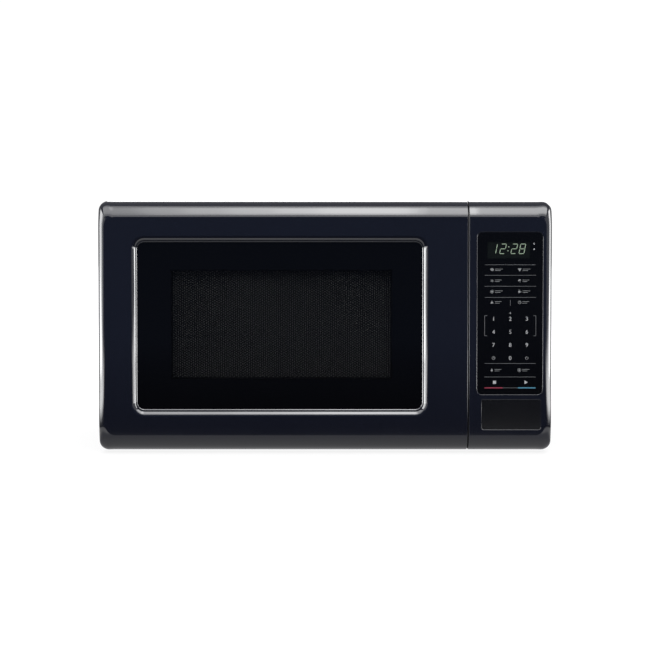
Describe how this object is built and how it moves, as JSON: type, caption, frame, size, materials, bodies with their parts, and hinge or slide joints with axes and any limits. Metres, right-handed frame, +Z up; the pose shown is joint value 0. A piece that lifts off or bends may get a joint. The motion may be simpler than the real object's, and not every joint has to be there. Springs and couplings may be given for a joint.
{
  "type": "microwave oven",
  "caption": "Countertop microwave oven with a side-hinged door, dark glossy front, smoked window over a perforated screen, keypad column, push-button release and a glass turntable.",
  "frame": {"origin": "centre of the bounding box at the bottom of the feet", "axes": "+X to the right seen from the front, +Y from the door to the rear panel, +Z up"},
  "size_m": [0.44, 0.345, 0.246],
  "materials": {
    "fascia_plastic": "high gloss moulded",
    "button_plastic": "satin gloss",
    "overlay_film": "printed membrane",
    "door_glass": "smoked glass",
    "display_tint": "tinted clear plastic",
    "clear_film": "clear film",
    "tray_glass": "pressed clear glass",
    "cabinet_paint": "fine textured powder coat",
    "galvanised_steel": "zinc coated",
    "cavity_enamel": "light grey enamel",
    "screen_paint": "black enamel on perforated steel",
    "black_plastic": "satin black",
    "white_plastic": "natural white nylon",
    "red_plastic": "satin",
    "display_parts": "digit module",
    "circuit_board": "solder mask",
    "board_parts": "moulded parts",
    "mica": "mica sheet",
    "aluminium": "mill finish",
    "copper": "enamelled copper",
    "iron": "laminated steel",
    "spring_steel": "bright zinc",
    "rubber": "matte",
    "lamp_glass": "clear bulb"
  },
  "bodies": {
    "oven": {"cabinet_wrap": "cabinet_paint", "base_plate": "galvanised_steel", "rear_panel": "galvanised_steel", "front_flange": "cavity_enamel", "cavity_floor": "cavity_enamel", "cavity_ceiling": "cavity_enamel", "cavity_left_wall": "cavity_enamel", "cavity_right_wall": "cavity_enamel", "cavity_back_wall": "cavity_enamel", "waveguide_cover": "mica", "waveguide": "galvanised_steel", "magnetron_yoke": "galvanised_steel", "magnetron_fins": "aluminium", "magnetron_tube": "copper", "magnetron_filter_box": "galvanised_steel", "transformer_core": "iron", "transformer_windings": "copper", "capacitor": "aluminium", "capacitor_clamp": "galvanised_steel", "diode": "black_plastic", "fan_shroud": "black_plastic", "fan_motor": "iron", "air_duct": "black_plastic", "turntable_motor": "galvanised_steel", "oven_lamp": "lamp_glass", "thermal_cutouts": "black_plastic", "latch_board": "white_plastic", "door_switches": "black_plastic", "control_panel": "fascia_plastic", "keypad_overlay": "overlay_film", "display_window": "display_tint", "display_module": "display_parts", "control_board": "circuit_board", "board_components": "board_parts", "button_spring": "spring_steel", "upper_hinge": "galvanised_steel", "lower_hinge": "galvanised_steel", "feet": "rubber", "cabinet_screws": "spring_steel", "hinge_screws": "spring_steel", "cord_gland": "rubber", "filter_board": "circuit_board"},
    "door": {"door_frame": "fascia_plastic", "door_window": "door_glass", "door_screen": "screen_paint", "screen_mesh": "screen_paint", "choke_cover": "black_plastic", "inner_film": "clear_film", "latch_spring": "spring_steel"},
    "latch": {"latch_hooks": "white_plastic"},
    "button": {"release_button": "button_plastic"},
    "lever": {"release_lever": "white_plastic"},
    "plungers": {"switch_plungers": "red_plastic"},
    "coupler": {"drive_coupler": "white_plastic"},
    "tray": {"glass_tray": "tray_glass"},
    "ring": {"roller_ring": "white_plastic"},
    "wheel_1": {"roller_wheel_1": "white_plastic"},
    "wheel_2": {"roller_wheel_2": "white_plastic"},
    "wheel_3": {"roller_wheel_3": "white_plastic"},
    "fan": {"fan_blade": "aluminium"}
  },
  "joints": [
    {"name": "door_swing", "type": "hinge", "parent": "oven", "child": "door", "pos_m": [-0.214, -0.1505, 0.1245], "axis": [0, 0, -1], "range_deg": [0, 105]},
    {"name": "button_press", "type": "slide", "parent": "oven", "child": "button", "axis": [0, 1, 0], "range_m": [0, 0.006], "stiffness_N_per_m": 300, "springref_m": -0.003, "deforming": ["button_spring"]},
    {"name": "release_lever_turn", "type": "hinge", "parent": "oven", "child": "lever", "pos_m": [0.139, -0.131, 0.048], "axis": [1, 0, 0], "range_deg": [0, 28.7]},
    {"name": "latch_lift", "type": "slide", "parent": "door", "child": "latch", "axis": [0, 0, 1], "range_m": [0, 0.0034], "deforming": ["latch_spring"]},
    {"name": "turntable_spin", "type": "hinge", "parent": "oven", "child": "coupler", "pos_m": [-0.047, 0.0035, 0.03], "axis": [0, 0, 1], "continuous": true},
    {"name": "tray_lift", "type": "slide", "parent": "coupler", "child": "tray", "axis": [0, 0, 1], "range_m": [0, 0.03]},
    {"name": "ring_spin", "type": "hinge", "parent": "oven", "child": "ring", "pos_m": [-0.047, 0.0035, 0.0318], "axis": [0, 0, 1], "continuous": true},
    {"name": "wheel_spin_1", "type": "hinge", "parent": "ring", "child": "wheel_1", "pos_m": [0.02748, 0.0465, 0.0318], "axis": [0.866, 0.5, 0], "continuous": true},
    {"name": "wheel_spin_2", "type": "hinge", "parent": "ring", "child": "wheel_2", "pos_m": [-0.12148, 0.0465, 0.0318], "axis": [-0.866, 0.5, 0], "continuous": true},
    {"name": "wheel_spin_3", "type": "hinge", "parent": "ring", "child": "wheel_3", "pos_m": [-0.047, -0.0825, 0.0318], "axis": [0, -1, 0], "continuous": true},
    {"name": "fan_spin", "type": "hinge", "parent": "oven", "child": "fan", "pos_m": [0.158, 0.159, 0.168], "axis": [0, 1, 0], "continuous": true},
    {"name": "switch_press", "type": "slide", "parent": "oven", "child": "plungers", "axis": [0, 1, 0], "range_m": [0, 0.0005], "stiffness_N_per_m": 200, "springref_m": -0.001}
  ],
  "couplings": [
    {"joint": "release_lever_turn", "follows": "button_press", "rad_per_m": 83.333},
    {"joint": "latch_lift", "follows": "button_press", "ratio": 0.55},
    {"joint": "ring_spin", "follows": "turntable_spin", "ratio": 0.5},
    {"joint": "wheel_spin_1", "follows": "turntable_spin", "ratio": -6.6154},
    {"joint": "wheel_spin_2", "follows": "turntable_spin", "ratio": -6.6154},
    {"joint": "wheel_spin_3", "follows": "turntable_spin", "ratio": -6.6154}
  ]
}
